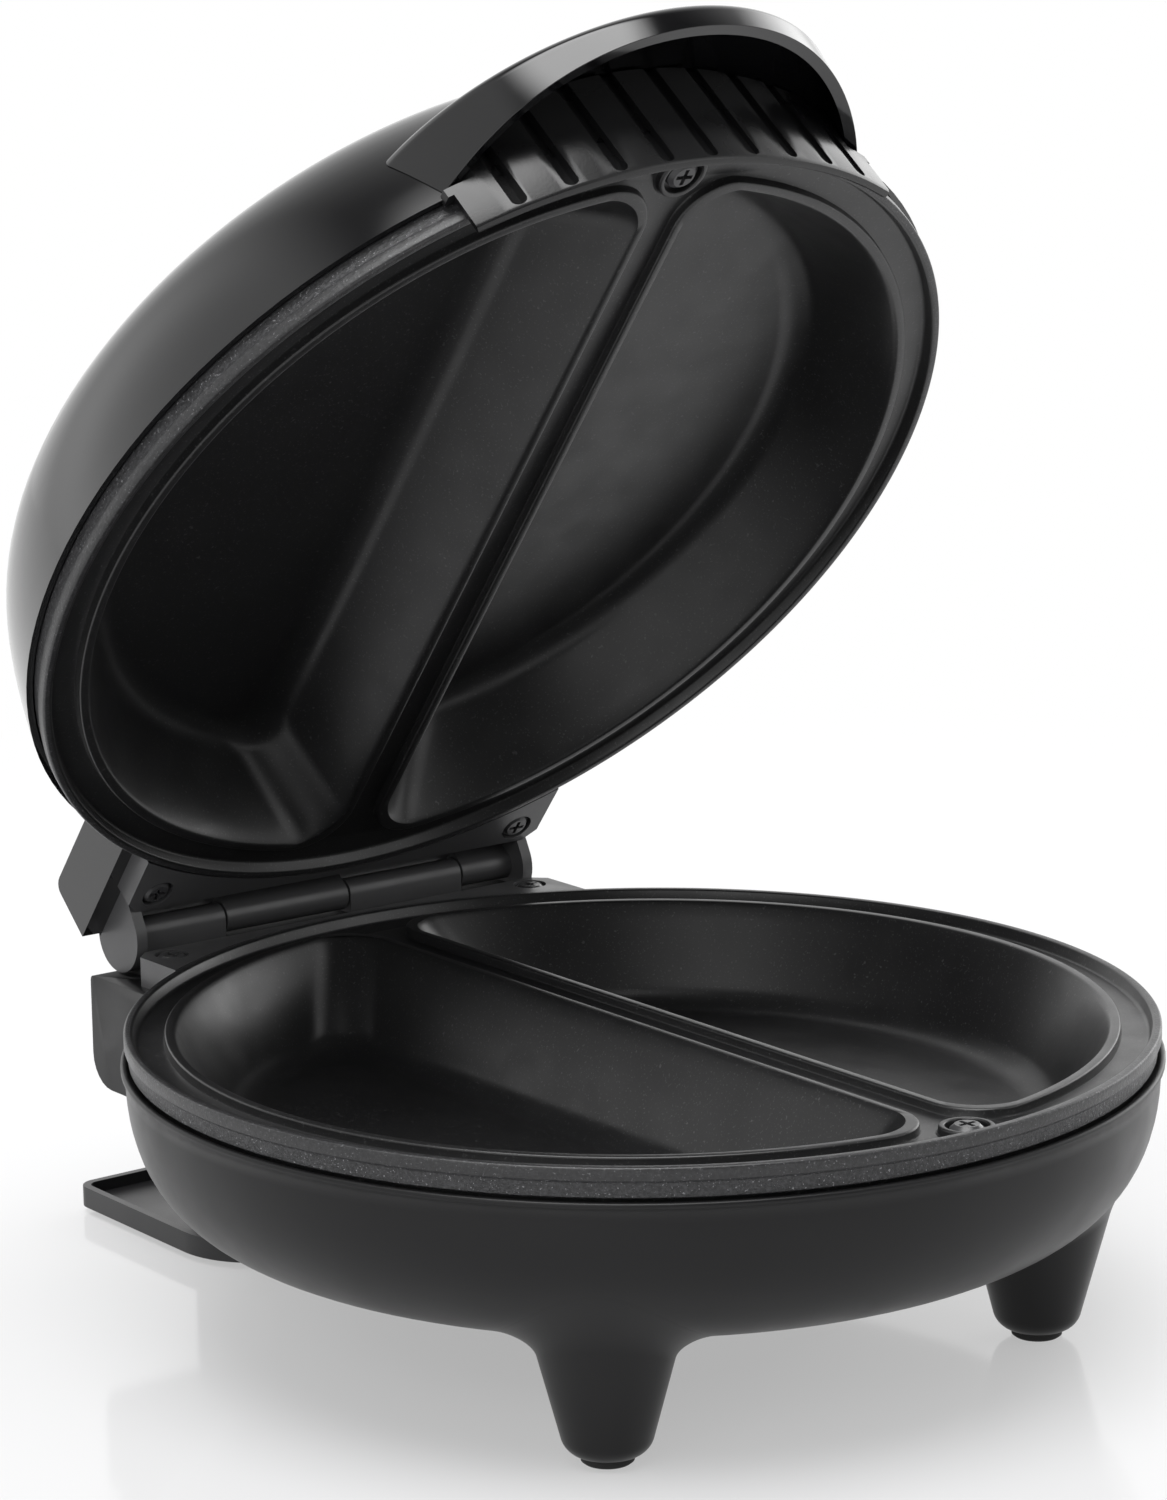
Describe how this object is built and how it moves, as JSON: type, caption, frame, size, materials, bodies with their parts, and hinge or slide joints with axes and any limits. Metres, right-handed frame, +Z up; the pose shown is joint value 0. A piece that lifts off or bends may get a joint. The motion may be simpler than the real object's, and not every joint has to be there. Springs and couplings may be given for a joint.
{
  "type": "electric omelette maker",
  "caption": "Countertop omelette cooker standing open: hinged domed lid with a hooded handle, round nonstick plates with half-moon pockets, footed bowl base.",
  "frame": {"origin": "on the table, in the middle of the footprint of the opened appliance", "axes": "+Z up, +Y towards the hinge and cord side, +X to the right as the user faces the appliance"},
  "size_m": [0.21, 0.2408, 0.2657],
  "materials": {
    "housing_satin": "satin moulded charcoal plastic",
    "housing_gloss": "polished black moulding",
    "guard_satin": "satin black moulding",
    "foot_plastic": "satin black moulding",
    "pad_rubber": "matt moulded rubber",
    "nonstick_coat": "cast aluminium under a speckled dark nonstick coating",
    "hinge_paint": "satin dark grey coating",
    "dark_screw": "blackened steel",
    "zinc_screw": "zinc plated",
    "element_sheath": "heat tinted sheath",
    "ceramic": "fired ceramic",
    "reflector_sheet": "mill finish sheet",
    "brass_screw": "plain brass",
    "red_lens": "clear red",
    "green_lens": "clear green",
    "lamp_glass": "neon lamp glass"
  },
  "bodies": {
    "base": {"base_housing": "housing_satin", "front_foot_pads": "pad_rubber", "cord_wrap_foot": "foot_plastic", "wrap_foot_pads": "pad_rubber", "wrap_foot_screws": "zinc_screw", "lower_plate": "nonstick_coat", "lower_plate_screw": "dark_screw", "lower_element": "element_sheath", "lower_insulators": "ceramic", "lower_reflector": "reflector_sheet", "lower_reflector_screws": "zinc_screw", "thermostat": "ceramic", "thermal_fuse": "ceramic", "terminal_block": "ceramic", "terminal_screws": "brass_screw", "cord_bush": "pad_rubber", "base_hinge_leaf": "hinge_paint", "base_leaf_screws": "dark_screw", "hinge_pin": "zinc_screw"},
    "lid": {"lid_housing": "housing_gloss", "lid_handle": "housing_gloss", "finger_guard": "guard_satin", "upper_plate": "nonstick_coat", "lid_hinge_leaf": "hinge_paint", "upper_plate_screw": "dark_screw", "lid_leaf_screws": "dark_screw", "upper_reflector_screws": "zinc_screw", "upper_element": "element_sheath", "upper_insulators": "ceramic", "lamp_holder": "ceramic", "upper_reflector": "reflector_sheet", "power_lens": "red_lens", "ready_lens": "green_lens", "indicator_lamps": "lamp_glass"}
  },
  "joints": [
    {"name": "lid_hinge", "type": "hinge", "parent": "base", "child": "lid", "pos_m": [0, 0.0988, 0.0666], "axis": [1, 0, 0], "range_deg": [-48, 52]}
  ]
}
